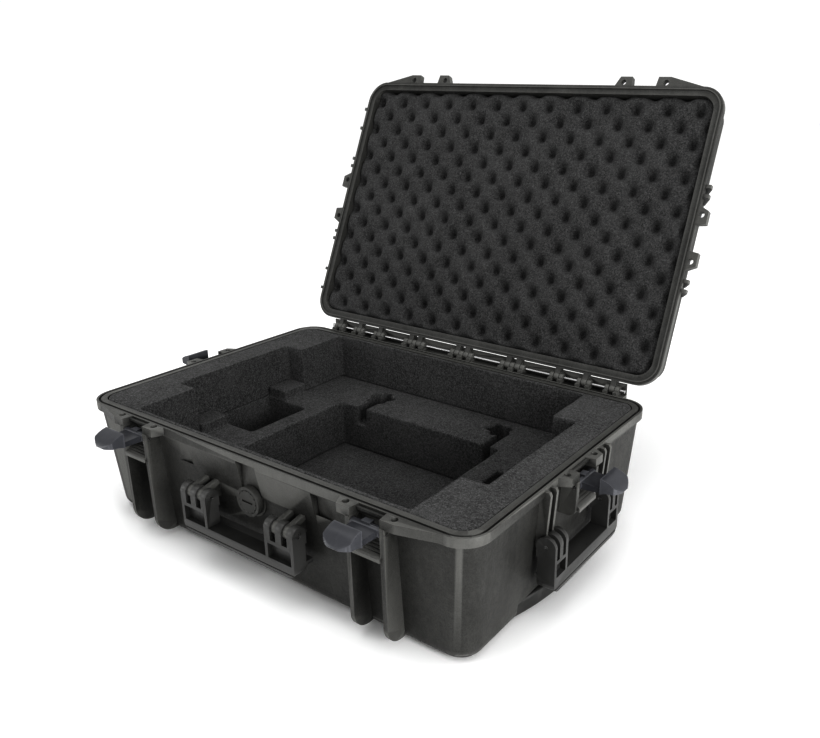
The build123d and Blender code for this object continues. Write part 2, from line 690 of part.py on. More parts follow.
def underside_cuts():
    """Wheel wells, tube tunnels and the recess behind the pull-out grip."""
    cuts = []
    for side in (-1, 1):
        y = (side * WHEEL_Y - WELL_HALF, side * WHEEL_Y + WELL_HALF)
        cuts.append(block((-HALF_LENGTH - 20, WELL_X), y, (-1, WELL_TOP)))
        cuts.append(cylinder_y(AXLE_R + PIN_SEAT, WHEEL_X, (y[0] - 10, y[1] + 10), WHEEL_Z))
        y = (side * TUBE_Y - TUNNEL_HALF, side * TUBE_Y + TUNNEL_HALF)
        cuts.append(block((SLEEVE_X[0] - 3, HALF_LENGTH), y, (-1, TUNNEL_TOP)))
    for x, y in clamp_screw_places():
        cuts.append(Pos(x, y, SCREW_Z[1] / 2) * Cylinder(SCREW_R + PIN_SEAT, SCREW_Z[1] + 0.2))
    reach = GRIP_HALF + GRIP_ROOM
    cuts.append(block((GRIP_X[0] - GRIP_ROOM, HALF_LENGTH), (-reach, reach), (-1, GRIP_Z[1] + GRIP_ROOM)))
    return cuts


def base_shell():
    shell = base_body() + front_panel()
    for name, station in STATIONS.items():
        shell += station * base_station(name)
    shell += end_ribs(RIGHT_END, lambda at: base_rib(at, SIDE_HANDLE_PIVOT[1]), SIDE_RIBS)
    shell += end_ribs(LEFT_END, lambda at: base_rib(at, SIDE_COLUMN_FOOT), SIDE_RIBS)
    shell += end_ribs(LEFT_END, lambda at: base_rib(at, WHEEL_RIB_LOW, WHEEL_RIB_OUT), WHEEL_RIBS)
    shell += handle_lugs(FRONT, FRONT_HANDLE_PIVOT, FRONT_LUG_R, FRONT_CHEEKS, FRONT_LUG_RISE)
    shell += handle_lugs(RIGHT_END, SIDE_HANDLE_PIVOT, SIDE_LUG_R, SIDE_CHEEKS, SIDE_LUG_RISE)
    shell += FRONT * cylinder_y(VALVE_R + 3, 0, (-wall_out(VALVE_Z) - 1.0, -wall_out(VALVE_Z) + 3), VALVE_Z)
    shell += base_hinge()
    shell -= base_cavity(0)
    for cut in underside_cuts():
        shell -= cut
    shell -= ring_groove(GROOVE_AT, GROOVE_W, (RIM_Z - GROOVE_DEEP, RIM_Z + 1))
    shell -= FRONT * drain_channel()
    shell -= FRONT * panel_hollows()
    shell -= FRONT * cylinder_y(VALVE_R + 1, 0, (-5, -wall_out(VALVE_Z) - 1), VALVE_Z)
    shell -= FRONT * cylinder_y(VALVE_STEM_HOLE_R, 0, (-5, -wall_out(VALVE_Z) + 12), VALVE_Z)
    shell -= handle_bore(FRONT, FRONT_HANDLE_PIVOT, FRONT_HANDLE_PIN_R, FRONT_CHEEKS[-1][1])
    shell -= handle_bore(RIGHT_END, SIDE_HANDLE_PIVOT, SIDE_HANDLE_PIN_R, SIDE_CHEEKS[-1][1])
    return shell


def opened(shape):
    """Swing a closed-lid shape to the open resting pose."""
    return shape.rotate(Axis((0, HINGE_Y, HINGE_Z), (1, 0, 0)), -LID_OPEN)


def lid_cavity(gap):
    low = RIM_Z + LID_GAP
    top = LID_TOP_Z - WALL_T - gap
    inset = LID_WALL_INSET + WALL_T + DRAFT * (top - low)
    low_r, high_r = LID_CAVITY_CORNER_R
    return tapered((RIM_W + gap, low_r, low - EPS), (inset + gap, high_r, top))


def lid_shell():
    low = RIM_Z + LID_GAP
    flange_top = low + LID_FLANGE_T
    top_inset = LID_WALL_INSET + DRAFT * (LID_TOP_Z - flange_top)
    wall = tapered((LID_WALL_INSET, CORNER_R - 7, flange_top - EPS), (top_inset, CORNER_R - 9, LID_TOP_Z))
    wall = fillet(wall.faces().sort_by(Axis.Z)[-1].edges(), LID_TOP_R)
    shell = wall + slab(0, CORNER_R, (low, flange_top))
    for name, station in STATIONS.items():
        shell += station * ears(RAMP_SIDE[name], (low, flange_top))
    for place in (LEFT_END, RIGHT_END):
        shell += end_ribs(place, lid_rib, SIDE_RIBS)
    shell += end_ribs(LEFT_END, lid_rib, WHEEL_RIBS)
    shell += lid_hinge(low)
    shell -= lid_cavity(0)
    shell += ring_groove(GROOVE_AT, TONGUE_W, (low - TONGUE_H, low + EPS))
    recess = Pos(0, 0, LID_TOP_Z) * Box(*LID_RECESS)
    shell -= fillet(recess.edges().filter_by(Axis.Z), LID_RECESS_R)
    return opened(shell)


# ---------------------------------------------------------------- seals and hinge rod
def rim_seal():
    return ring_groove(GROOVE_AT, SEAL_W, (RIM_Z - GROOVE_DEEP, RIM_Z - GROOVE_DEEP + SEAL_H))


def hinge_rod():
    return cylinder_x(HINGE_ROD_R, (-HINGE_ROD_REACH, HINGE_ROD_REACH), HINGE_Y, HINGE_Z)


# ---------------------------------------------------------------- foam
def rounded_block(x, y, z, radius=POCKET_R):
    return fillet(block(x, y, z).edges().filter_by(Axis.Z), radius)


def layer(z):
    return base_cavity(FOAM_GAP) & block((-HALF_LENGTH, HALF_LENGTH), (-HALF_DEPTH, HALF_DEPTH), z)


def mirror_span(half):
    return (-half, half)


def base_foam_top():
    """The frame-shaped upper layer, flush with the rim."""
    foam = layer((MID_FOAM_TOP + FOAM_GAP, RIM_Z))
    height = (MID_FOAM_TOP, RIM_Z + 1)
    foam -= rounded_block(mirror_span(OPENING_MAIN[0]), mirror_span(OPENING_MAIN[1]), height)
    return foam - rounded_block(mirror_span(OPENING_WINGS[0]), mirror_span(OPENING_WINGS[1]), height)


def star(centre, radius, lobe, turn, z):
    """A hub-shaped recess: a round with lobes around it."""
    height = z[1] - z[0]
    shape = Cylinder(radius, height)
    for index in range(HUB_LOBES):
        shape += Rot(0, 0, turn + 360 * index / HUB_LOBES) * Pos(radius, 0, 0) * Cylinder(lobe, height)
    return Pos(*centre, (z[0] + z[1]) / 2) * shape


def pockets(top):
    """The deep central pocket, and the shallower one on the left."""
    deep = rounded_block(mirror_span(POCKET_HALF), POCKET_Y, (0, top))
    return deep + rounded_block(LEFT_POCKET_X, LEFT_POCKET_Y, (LEFT_POCKET_FLOOR, top))


def base_foam_mid():
    """The layer that holds the aircraft: pockets, slots and hub-shaped recesses, all cut through."""
    foam = layer((LOW_FOAM_TOP + FOAM_GAP, MID_FOAM_TOP))
    for side in (-1, 1):
        y = sorted((side * LEDGE_Y, side * (OPENING_WINGS[1] - FOAM_GAP)))
        ledge_x = (-OPENING_WINGS[0] + FOAM_GAP, LEDGE_X)
        foam += rounded_block(ledge_x, y, (MID_FOAM_TOP - POCKET_R, LEDGE_TOP))
    through = (0, LEDGE_TOP + 1)
    foam -= pockets(through[1])
    for x, y in FOAM_SLOTS:
        foam -= rounded_block(x, y, through)
    for centre, radius, lobe, turn in HUB_RECESSES:
        foam -= star(centre, radius, lobe, turn, through)
    return foam


def base_foam_low():
    """The layer under it, which floors the slots and carries on the two pockets."""
    return layer((FLOOR_FOAM_TOP + FOAM_GAP, LOW_FOAM_TOP)) - pockets(LOW_FOAM_TOP + 1)


def base_foam_floor():
    return layer((WALL_T + FOAM_GAP, FLOOR_FOAM_TOP))


def lid_foam():
    keep = block((-HALF_LENGTH, HALF_LENGTH), (-HALF_DEPTH, HALF_DEPTH), LID_FOAM_Z)
    return opened(lid_cavity(FOAM_GAP) & keep)


# ---------------------------------------------------------------- pull-out handle
def grip_outline():
    back = Line((GRIP_X[0], -GRIP_HALF), (GRIP_X[0], GRIP_HALF))
    top = Line((GRIP_X[0], GRIP_HALF), (GRIP_END_X, GRIP_HALF))
    crown = ThreePointArc((GRIP_END_X, GRIP_HALF), (GRIP_X[1], 0), (GRIP_END_X, -GRIP_HALF))
    bottom = Line((GRIP_END_X, -GRIP_HALF), (GRIP_X[0], -GRIP_HALF))
    return make_face([back, top, crown, bottom])


def trolley_grip():
    grip = extrude(Pos(0, 0, GRIP_Z[0]) * grip_outline(), amount=GRIP_Z[1] - GRIP_Z[0])
    grip = fillet(grip.faces().sort_by(Axis.X)[-1].edges().filter_by(GeomType.CIRCLE), GRIP_ROUND)
    half, deep, roof = GRIP_SCOOP
    grip -= block((GRIP_X[0] - 1, GRIP_X[0] + deep), (-half, half), (0, GRIP_Z[1] - roof))
    for side in (-1, 1):
        grip -= cylinder_x(TUBE_R + PIN_SEAT, (GRIP_X[0] - 1, TUBE_X[1]), side * TUBE_Y, TUBE_Z)
    return grip


def both_sides(make):
    return Compound([make(side) for side in (-1, 1)])


def trolley_tube(side):
    outer = cylinder_x(TUBE_R, TUBE_X, side * TUBE_Y, TUBE_Z)
    return outer - cylinder_x(TUBE_BORE, (TUBE_X[0] - 1, TUBE_X[1] - TUBE_PLUG), side * TUBE_Y, TUBE_Z)


def trolley_sleeve(side):
    outer = cylinder_x(SLEEVE_R, SLEEVE_X, side * TUBE_Y, TUBE_Z)
    bore = (SLEEVE_X[0] - 1, SLEEVE_X[1] + 1)
    return outer - cylinder_x(TUBE_R + SLEEVE_GAP, bore, side * TUBE_Y, TUBE_Z)


def sleeve_clamps():
    """Saddles that hold the guide tubes in their tunnels."""
    clamps = []
    half = TUNNEL_HALF - FOAM_GAP
    height = (CLAMP_Z, TUNNEL_TOP - CLAMP_ROOF_GAP)
    seat_r, seat_deep = SCREW_SEAT
    for x in CLAMP_X:
        for side in (-1, 1):
            y = side * TUBE_Y
            clamp = block((x, x + CLAMP_L), (y - half, y + half), height)
            clamp -= cylinder_x(SLEEVE_R + PIN_SEAT, (x - 1, x + CLAMP_L + 1), y, TUBE_Z)
            for offset in (-SCREW_AT, SCREW_AT):
                place = Pos(x + CLAMP_L / 2, y + offset, 0)
                clamp -= place * Cylinder(SCREW_R + PIN_SEAT, 2 * TUNNEL_TOP + 2)
                clamp -= place * Cylinder(seat_r, 2 * seat_deep)
            clamps.append(clamp)
    return Compound(clamps)


def clamp_screws():
    screws = []
    low, high = SCREW_Z
    head_r, head_t = SCREW_HEAD
    for x, y in clamp_screw_places():
        shank = Pos(x, y, (low + high) / 2) * Cylinder(SCREW_R, high - low)
        head = Pos(x, y, low) * Cylinder(head_r, head_t)
        slot = Pos(x, y, low - SCREW_SLOT[1]) * Box(*SCREW_SLOT)
        screws.append(shank + head - slot)
    return Compound(screws)


# ---------------------------------------------------------------- wheels
def wheel_tyre(side):
    y = (side * WHEEL_Y - WHEEL_W / 2, side * WHEEL_Y + WHEEL_W / 2)
    tyre = cylinder_y(WHEEL_R, WHEEL_X, y, WHEEL_Z)
    tyre = fillet(tyre.edges().filter_by(GeomType.CIRCLE), TYRE_ROUND)
    return tyre - cylinder_y(HUB_R, WHEEL_X, (y[0] - 1, y[1] + 1), WHEEL_Z)


def wheel_hub(side):
    y = (side * WHEEL_Y - WHEEL_W / 2 + 1, side * WHEEL_Y + WHEEL_W / 2 - 1)
    hub = cylinder_y(HUB_R - PIN_SEAT, WHEEL_X, y, WHEEL_Z)
    for face_y in (y[0], y[1]):
        depth = (face_y - HUB_HOLLOW, face_y + HUB_HOLLOW)
        boss = (face_y - HUB_HOLLOW - 1, face_y + HUB_HOLLOW + 1)
        ring = cylinder_y(HUB_R - HUB_RIM, WHEEL_X, depth, WHEEL_Z)
        hub -= ring - cylinder_y(HUB_BOSS_R, WHEEL_X, boss, WHEEL_Z)
    return hub - cylinder_y(AXLE_R + HINGE_RUN, WHEEL_X, (y[0] - 1, y[1] + 1), WHEEL_Z)


def wheel_axle(side):
    reach = WELL_HALF + WALL_T - 0.5
    return cylinder_y(AXLE_R, WHEEL_X, (side * WHEEL_Y - reach, side * WHEEL_Y + reach), WHEEL_Z)


def main():
    os.makedirs("parts", exist_ok=True)
    valve_body, valve_washer, valve_knob = valve_parts()
    nodes = {
        "base_shell": base_shell(),
        "lid_shell": lid_shell(),
        "rim_seal": rim_seal(),
        "hinge_rod": hinge_rod(),
        "latch_pins": latch_pins(),
        "front_handle": front_handle(),
        "front_handle_pins": handle_pins(FRONT, FRONT_HANDLE_PIVOT, FRONT_HANDLE_PIN_R, FRONT_CHEEKS),
        "side_handle": side_handle(),
        "side_handle_pins": handle_pins(RIGHT_END, SIDE_HANDLE_PIVOT, SIDE_HANDLE_PIN_R, SIDE_CHEEKS),
        "valve_body": valve_body,
        "valve_washer": valve_washer,
        "valve_knob": valve_knob,
        "base_foam_top": base_foam_top(),
        "base_foam_mid": base_foam_mid(),
        "base_foam_low": base_foam_low(),
        "base_foam_floor": base_foam_floor(),
        "lid_foam": lid_foam(),
        "trolley_grip": trolley_grip(),
        "trolley_tubes": both_sides(trolley_tube),
        "trolley_sleeves": both_sides(trolley_sleeve),
        "sleeve_clamps": sleeve_clamps(),
        "clamp_screws": clamp_screws(),
        "front_wheel_tyre": wheel_tyre(-1),
        "front_wheel_hub": wheel_hub(-1),
        "rear_wheel_tyre": wheel_tyre(1),
        "rear_wheel_hub": wheel_hub(1),
        "wheel_axles": both_sides(wheel_axle),
    }
    for name, station in STATIONS.items():
        nodes[f"{name}_latch"] = station * latch_lever()
    for name, shape in nodes.items():
        export_step(shape, f"parts/{name}.step")
        print(name, len(shape.solids()), round(shape.volume / 1000, 1), "cm3")


main()
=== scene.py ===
import json
import math

import bmesh
import bpy
import numpy as np
from mathutils import Euler, Matrix, Vector, noise


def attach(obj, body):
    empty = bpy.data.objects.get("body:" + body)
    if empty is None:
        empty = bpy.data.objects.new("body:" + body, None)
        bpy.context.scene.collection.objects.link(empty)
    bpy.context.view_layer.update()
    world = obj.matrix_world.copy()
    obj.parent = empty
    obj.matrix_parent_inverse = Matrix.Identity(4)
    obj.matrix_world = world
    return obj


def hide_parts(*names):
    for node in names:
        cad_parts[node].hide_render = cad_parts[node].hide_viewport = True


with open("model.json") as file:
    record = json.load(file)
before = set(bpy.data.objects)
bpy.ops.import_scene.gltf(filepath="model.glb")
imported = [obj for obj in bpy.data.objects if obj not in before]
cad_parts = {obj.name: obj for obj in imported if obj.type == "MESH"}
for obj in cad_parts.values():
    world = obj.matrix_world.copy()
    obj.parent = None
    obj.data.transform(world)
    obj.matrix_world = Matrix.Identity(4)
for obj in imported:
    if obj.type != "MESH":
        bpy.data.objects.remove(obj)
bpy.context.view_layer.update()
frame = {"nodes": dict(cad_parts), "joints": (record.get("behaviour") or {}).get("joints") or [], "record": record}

# A wheeled hard case, open: CAD shells, handles and latches with moulded-plastic materials,
# and foam built here. Metres, in the CAD frame: +Z up, the front faces -Y.

NODES = frame["nodes"]
MM = 0.001
WELD_WITHIN = 0.02 * MM

# The open lid's own frame: closed-lid coordinates turned back about the hinge rod.
HINGE = next(joint for joint in frame["joints"] if joint["name"] == "lid_hinge")
LID_OPEN = math.radians(HINGE["range_deg"][1])
HINGE_AT = Vector(HINGE["pos_m"])
LID_TURN = (Matrix.Translation(HINGE_AT) @ Matrix.Rotation(-LID_OPEN, 4, "X")
            @ Matrix.Translation(-HINGE_AT))


# ---------------------------------------------------------------- material helpers
def srgb(*levels):
    """Display levels, 0 to 255, as linear colour with alpha."""
    values = [level / 255 for level in levels]
    return [v / 12.92 if v <= 0.04045 else ((v + 0.055) / 1.055) ** 2.4 for v in values] + [1.0]


BLACK = [0.0, 0.0, 0.0, 1.0]
EDGE_STOPS = (0.50, 0.56)    # pointiness from flat to a worn edge with a painted highlight
EDGE_PALE_WEAR_AND_HIGHLIGHT = 48                  # how much paler a fitting's edge is, worn and with a painted highlight, in display levels


def grey(level):
    return [level, level, level, 1.0]


class Graph:
    """A material's node tree, with short calls for the nodes used here."""

    def __init__(self, name):
        self.material = bpy.data.materials.new(name)
        self.material.use_nodes = True
        self.tree = self.material.node_tree
        self.shader = self.tree.nodes["Principled BSDF"]
        self.position = self.tree.nodes.new("ShaderNodeTexCoord").outputs["Object"]

    def link(self, source, target):
        self.tree.links.new(source, target)

    def noise(self, scale, detail=2.0, rough=0.5, distortion=0.0, stretch=None):
        node = self.tree.nodes.new("ShaderNodeTexNoise")
        node.inputs["Scale"].default_value = scale
        node.inputs["Detail"].default_value = detail
        node.inputs["Roughness"].default_value = rough
        node.inputs["Distortion"].default_value = distortion
        self.link(self.stretched(stretch), node.inputs["Vector"])
        return node.outputs["Fac"]

    def cells(self, scale):
        node = self.tree.nodes.new("ShaderNodeTexVoronoi")
        node.inputs["Scale"].default_value = scale
        self.link(self.position, node.inputs["Vector"])
        return node.outputs["Distance"]

    def stretched(self, stretch):
        if stretch is None:
            return self.position
        node = self.tree.nodes.new("ShaderNodeMapping")
        node.inputs["Scale"].default_value = stretch
        self.link(self.position, node.inputs["Vector"])
        return node.outputs["Vector"]

    def ramp(self, value, low, high, stops=(0.35, 0.65)):
        node = self.tree.nodes.new("ShaderNodeValToRGB")
        node.color_ramp.elements[0].position = stops[0]
        node.color_ramp.elements[1].position = stops[1]
        node.color_ramp.elements[0].color = low
        node.color_ramp.elements[1].color = high
        self.link(value, node.inputs["Fac"])
        return node.outputs["Color"]

    def mix(self, factor, under, over):
        """Lay a plain colour over another, as far as the factor says."""
        node = self.tree.nodes.new("ShaderNodeMix")
        node.data_type = "RGBA"
        self.link(factor, node.inputs["Factor"])
        self.link(under, node.inputs["A"])
        node.inputs["B"].default_value = over
        return node.outputs["Result"]

    def colour(self, value):
        self.link(value, self.shader.inputs["Base Color"])

    def roughness(self, value, low, high):
        """Vary the roughness between two levels."""
        node = self.tree.nodes.new("ShaderNodeMapRange")
        node.inputs["To Min"].default_value = low
        node.inputs["To Max"].default_value = high
        self.link(value, node.inputs["Value"])
        self.link(node.outputs["Result"], self.shader.inputs["Roughness"])

    def edges(self, low, high):
        """High on sharp convex edges, where moulded plastic rubs pale and a painted highlight is laid."""
        point = self.tree.nodes.new("ShaderNodeNewGeometry").outputs["Pointiness"]
        return self.ramp(point, low, high, EDGE_STOPS)

    def bump(self, heights):
        """Chain of (value, strength, distance in metres) bumps into the shader's normal."""
        normal = None
        for value, strength, distance in heights:
            node = self.tree.nodes.new("ShaderNodeBump")
            node.inputs["Strength"].default_value = strength
            node.inputs["Distance"].default_value = distance
            self.link(value, node.inputs["Height"])
            if normal is not None:
                self.link(normal, node.inputs["Normal"])
            normal = node.outputs["Normal"]
        self.link(normal, self.shader.inputs["Normal"])

    def set(self, **values):
        for name, value in values.items():
            self.shader.inputs[name.replace("_", " ")].default_value = value


def shell_plastic():
    """Grained charcoal moulding: broad tone, flow streaks, mottling, dark pits, and edges rubbed pale with a
    painted highlight on them.
    """
    g = Graph("shell_plastic")
    broad = g.noise(scale=9, detail=4, rough=0.6, distortion=0.6)
    streak = g.noise(scale=38, detail=5, rough=0.7, distortion=0.4, stretch=(1.0, 1.0, 0.22))
    mottle = g.noise(scale=170, detail=4, rough=0.65)
    grain = g.noise(scale=620, detail=3, rough=0.7)
    sheen = g.noise(scale=90, detail=5, rough=0.7)
    base = g.ramp(broad, srgb(54, 54, 52), srgb(66, 66, 64), (0.3, 0.7))
    base = g.mix(g.ramp(streak, BLACK, grey(0.6), (0.42, 0.70)), base, srgb(84, 84, 82))
    base = g.mix(g.ramp(mottle, BLACK, grey(0.4), (0.46, 0.74)), base, srgb(88, 88, 86))
    base = g.mix(g.ramp(grain, grey(0.5), BLACK, (0.34, 0.52)), base, srgb(30, 30, 29))
    # sharp edges: pale from wear and partly a painted highlight along the rims
    base = g.mix(g.edges(BLACK, grey(0.45)), base, srgb(140, 140, 137))
    g.colour(base)
    g.roughness(sheen, low=0.34, high=0.54)
    g.set(Specular_IOR_Level=0.5)
    g.bump([(grain, 0.5, 0.0006), (mottle, 0.35, 0.0009), (streak, 0.25, 0.0008)])
    return g.material


def fitting_plastic(name, low, high, roughness, grain):
    """Injection-moulded nylon fittings, smoother than the shell."""
    g = Graph(name)
    tone = g.noise(scale=30, detail=4, rough=0.6)
    sheen = g.noise(scale=60, detail=4, rough=0.6)
    fine = g.noise(scale=900, detail=3, rough=0.6)
    waves = g.noise(scale=80, detail=3, rough=0.5)
    base = g.ramp(tone, srgb(*low), srgb(*high), (0.3, 0.7))
    # sharp edges: pale from wear and partly a painted highlight
    base = g.mix(g.edges(BLACK, grey(0.4)), base, srgb(*[level + EDGE_PALE_WEAR_AND_HIGHLIGHT for level in high]))
    g.colour(base)
    g.roughness(sheen, low=roughness - 0.08, high=roughness + 0.12)
    g.bump([(fine, grain, 0.0003), (waves, 0.08, 0.0006)])
    return g.material


def foam(name, low, high, pores):
    """Open-cell foam: fine dark pores, pale cell walls and a slight velvet sheen."""
    g = Graph(name)
    fine = g.noise(scale=1100, detail=3, rough=0.75)
    mid = g.noise(scale=420, detail=3, rough=0.75)
    broad = g.noise(scale=14, detail=4, rough=0.6)
    pit = g.cells(pores)
    clump = g.noise(scale=240, detail=3, rough=0.8)
    deep = srgb(*[level * 0.45 for level in low])
    shade = srgb(*[level * 0.4 for level in low])
    base = g.ramp(mid, srgb(*low), srgb(*high), (0.36, 0.64))
    base = g.mix(g.ramp(broad, BLACK, grey(0.4), (0.4, 0.7)), base, srgb(*high))
    base = g.mix(g.ramp(fine, grey(0.7), BLACK, (0.34, 0.55)), base, deep)
    base = g.mix(g.ramp(pit, grey(0.6), BLACK, (0.02, 0.26)), base, srgb(10, 10, 10))
    base = g.mix(g.ramp(clump, grey(0.28), BLACK, (0.36, 0.56)), base, shade)
    g.colour(base)
    g.set(Roughness=0.95, Specular_IOR_Level=0.10, Sheen_Weight=0.08, Sheen_Roughness=0.5)
    g.bump([(pit, 0.5, 0.0008), (fine, 0.5, 0.0007), (mid, 0.6, 0.0016)])
    return g.material


def rubber(name, level):
    """Matt black rubber."""
    g = Graph(name)
    tone = g.noise(scale=40, detail=4)
    sheen = g.noise(scale=70, detail=3)
    base = g.ramp(tone, srgb(level, level, level), srgb(level + 14, level + 14, level + 13))
    g.colour(base)
    g.roughness(sheen, low=0.6, high=0.85)
    g.bump([(g.noise(scale=800, detail=3, rough=0.6), 0.3, 0.0003)])
    return g.material


def metal(name, low, high, roughness):
    """Drawn steel or aluminium, with fine marks along X."""
    g = Graph(name)
    drawn = g.noise(scale=400, detail=4, rough=0.7, stretch=(0.03, 1, 1))
    base = g.ramp(drawn, srgb(*low), srgb(*high), (0.3, 0.7))
    g.colour(base)
    g.roughness(drawn, low=roughness - 0.07, high=roughness + 0.12)
    g.set(Metallic=1.0)
    g.bump([(drawn, 0.12, 0.0002)])
    return g.material


MATERIALS = {
    "shell_plastic": shell_plastic(),
    "handle_plastic": fitting_plastic("handle_plastic", (48, 48, 47), (62, 62, 61), 0.30, 0.30),
    "latch_plastic": fitting_plastic("latch_plastic", (66, 67, 71), (80, 81, 85), 0.20, 0.08),
    "valve_plastic": fitting_plastic("valve_plastic", (50, 50, 48), (62, 62, 60), 0.42, 0.30),
    "hub_plastic": fitting_plastic("hub_plastic", (60, 60, 58), (72, 72, 70), 0.42, 0.25),
    "base_foam": foam("base_foam", (62, 62, 62), (120, 120, 120), 700),
    "lid_foam": foam("lid_foam", (64, 64, 64), (108, 108, 108), 620),
    "seal_rubber": rubber("seal_rubber", 34),
    "tyre_rubber": rubber("tyre_rubber", 50),
    "steel": metal("steel", (150, 150, 150), (205, 205, 205), 0.26),
    "tube_aluminium": metal("tube_aluminium", (165, 165, 168), (215, 215, 218), 0.30),
}


def dress(obj, slot_name):
    obj.data.materials.clear()
    obj.data.materials.append(MATERIALS[slot_name])
    return obj


# ---------------------------------------------------------------- CAD nodes that stay
SLOT_OF = {entry["node"]: entry["material_slot"] for entry in frame["record"]["subparts"]}
BEVEL = {                    # millimetres
    "base_shell": 0.9,
    "lid_shell": 0.9,
    "front_handle": 1.3,
    "side_handle": 1.3,
    "trolley_grip": 1.0,
    "valve_body": 0.6,
    "valve_knob": 0.4,
    "sleeve_clamps": 0.5,
}
LATCH_BEVEL = 0.8
BEVEL_ANGLE = math.radians(32)


def soften(obj, width):
    """Round the moulded edges a little."""
    weld = obj.modifiers.new("weld", "WELD")
    weld.merge_threshold = WELD_WITHIN
    bevel = obj.modifiers.new("edge_round", "BEVEL")
    bevel.width = width * MM
    bevel.segments = 2
    bevel.limit_method = "ANGLE"
    bevel.angle_limit = BEVEL_ANGLE
    bevel.use_clamp_overlap = True
    bevel.harden_normals = True
    bevel.miter_outer = "MITER_ARC"


def carry_over(name, obj):
    dress(obj, SLOT_OF[name])
    width = LATCH_BEVEL if name.endswith("_latch") else BEVEL.get(name)
    if width:
        soften(obj, width)


# ---------------------------------------------------------------- foam
LAYER_JOIN = 0.0004          # the gap between two layers; the lower one's top rises by twice this
FOAM_VOXEL = 0.0021
WOBBLE = 0.0006              # unevenness of a cut face
WOBBLE_SCALE = 26
WOBBLE_BIAS = 0.35           # keeps most of the unevenness inward
FINE_SCALE = 150
FINE_SHARE = 0.45
PROUD = 0.00005              # furthest a cut face may stand out of its CAD solid


def joined_layers(nodes):
    """One mesh from foam layers that lie on each other, each stretched up into the next."""
    mesh = bmesh.new()
    for index, node in enumerate(nodes):
        layer = NODES[node].data.copy()
        if index < len(nodes) - 1:
            top = max(v.co.z for v in layer.vertices)
            for v in layer.vertices:
                if v.co.z > top - LAYER_JOIN:
                    v.co.z += 2 * LAYER_JOIN
        mesh.from_mesh(layer)
    data = bpy.data.meshes.new("foam_layers")
    mesh.to_mesh(data)
    mesh.free()
    return data


def uneven(place):
    """How far a point of a cut face moves outward."""
    broad = noise.noise(Vector(place) * WOBBLE_SCALE) - WOBBLE_BIAS
    return WOBBLE * broad + FINE_SHARE * WOBBLE * noise.noise(Vector(place) * FINE_SCALE)


def foam_from(nodes, name):
    """A cut foam block: remeshed from its CAD solids, edges eased, faces slightly uneven."""
    piece = bpy.data.objects.new(name, joined_layers(nodes))
    bpy.context.scene.collection.objects.link(piece)
    for kind, settings in (
        ("WELD", {"merge_threshold": WELD_WITHIN}),
        ("REMESH", {"mode": "VOXEL", "voxel_size": FOAM_VOXEL, "use_smooth_shade": True}),
        ("SMOOTH", {"factor": 0.5, "iterations": 1}),
    ):
        modifier = piece.modifiers.new(kind.lower(), kind)
        for key, value in settings.items():
            setattr(modifier, key, value)
    bake(piece)
    mesh = piece.data
    count = len(mesh.vertices)
    places = np.zeros(count * 3)
    normals = np.zeros(count * 3)
    mesh.vertices.foreach_get("co", places)
    mesh.vertices.foreach_get("normal", normals)
    places = places.reshape(-1, 3)
    normals = normals.reshape(-1, 3)
    push = np.array([uneven(place) for place in places])
    places += normals * np.minimum(push, PROUD)[:, None]
    mesh.vertices.foreach_set("co", places.ravel())
    mesh.update()
    dress(piece, SLOT_OF[nodes[0]])
    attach(piece, "base")
    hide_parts(*nodes)
    return piece


def bake(obj):
    """Apply an object's modifiers."""
    graph = bpy.context.evaluated_depsgraph_get()
    mesh = bpy.data.meshes.new_from_object(obj.evaluated_get(graph))
    obj.modifiers.clear()
    obj.data = mesh
    return obj


EGG_PITCH = 0.050            # between dimples along a row
EGG_OFFSET = (0.006, 0.010)  # of the dimple pattern from the middle
EGG_DEEP = 0.017
EGG_SHARP = 3.2              # higher gives narrower pits in a flatter face
EGG_STEP = 0.0026            # mesh spacing
CREST_IN = 0.0003            # crests lie this far inside the CAD solid
WANDER = 0.0012              # slow unevenness of the crests
WANDER_SCALE = 18
WANDER_BIAS = 0.6
EDGE_BAND = 0.006            # the sheet's border curls back over this width
EDGE_CURL = 0.0035
FOAM_CORNER_R = 0.020


def egg_height(x, y):
    """0 at a dimple's bottom to 1 on the crests: staggered pits in a soft, broad surface."""
    wave = np.cos(2 * np.pi * x / EGG_PITCH) * np.cos(2 * np.pi * y / EGG_PITCH)
    return 1 - ((1 - wave) / 2) ** EGG_SHARP


def lid_foam():
    """Egg-crate foam, laid out with the lid closed and then swung open with it."""
    back = NODES["lid_foam"]
    closing = np.array(LID_TURN.inverted())
    points = np.array([v.co for v in back.data.vertices])
    flat = points @ closing[:3, :3].T + closing[:3, 3]
    low, high = flat.min(0), flat.max(0)
    crest, rear = low[2] + CREST_IN, high[2]
    half = np.array([(high[0] - low[0]) / 2, (high[1] - low[1]) / 2])
    columns = int(round(2 * half[0] / EGG_STEP))
    rows = int(round(2 * half[1] / EGG_STEP))
    u = np.linspace(-1, 1, columns + 1)
    v = np.linspace(-1, 1, rows + 1)
    grid_u, grid_v = np.meshgrid(u, v, indexing="ij")
    x, y = rounded(grid_u, grid_v, half)
    height = egg_height(x + EGG_OFFSET[0], y + EGG_OFFSET[1])
    wander = np.array([
        noise.noise(Vector((a, b, 0.3)) * WANDER_SCALE) for a, b in zip(x.ravel(), y.ravel())
    ]).reshape(x.shape)
    depth = EGG_DEEP * (1 - height) + WANDER * (wander + WANDER_BIAS)
    edge = np.minimum(half[0] - np.abs(x), half[1] - np.abs(y))
    depth += EDGE_CURL * np.clip(1 - edge / EDGE_BAND, 0, 1) ** 2
    front = np.stack([x, y, crest + depth], -1)
    rear_face = np.stack([x, y, np.full_like(x, rear)], -1)
    mesh = sheet_solid(front, rear_face)
    mesh.transform(LID_TURN)
    piece = bpy.data.objects.new("lid_foam_egg_crate", mesh)
    bpy.context.scene.collection.objects.link(piece)
    dress(piece, SLOT_OF["lid_foam"])
    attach(piece, "lid")
    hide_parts("lid_foam")
    return piece


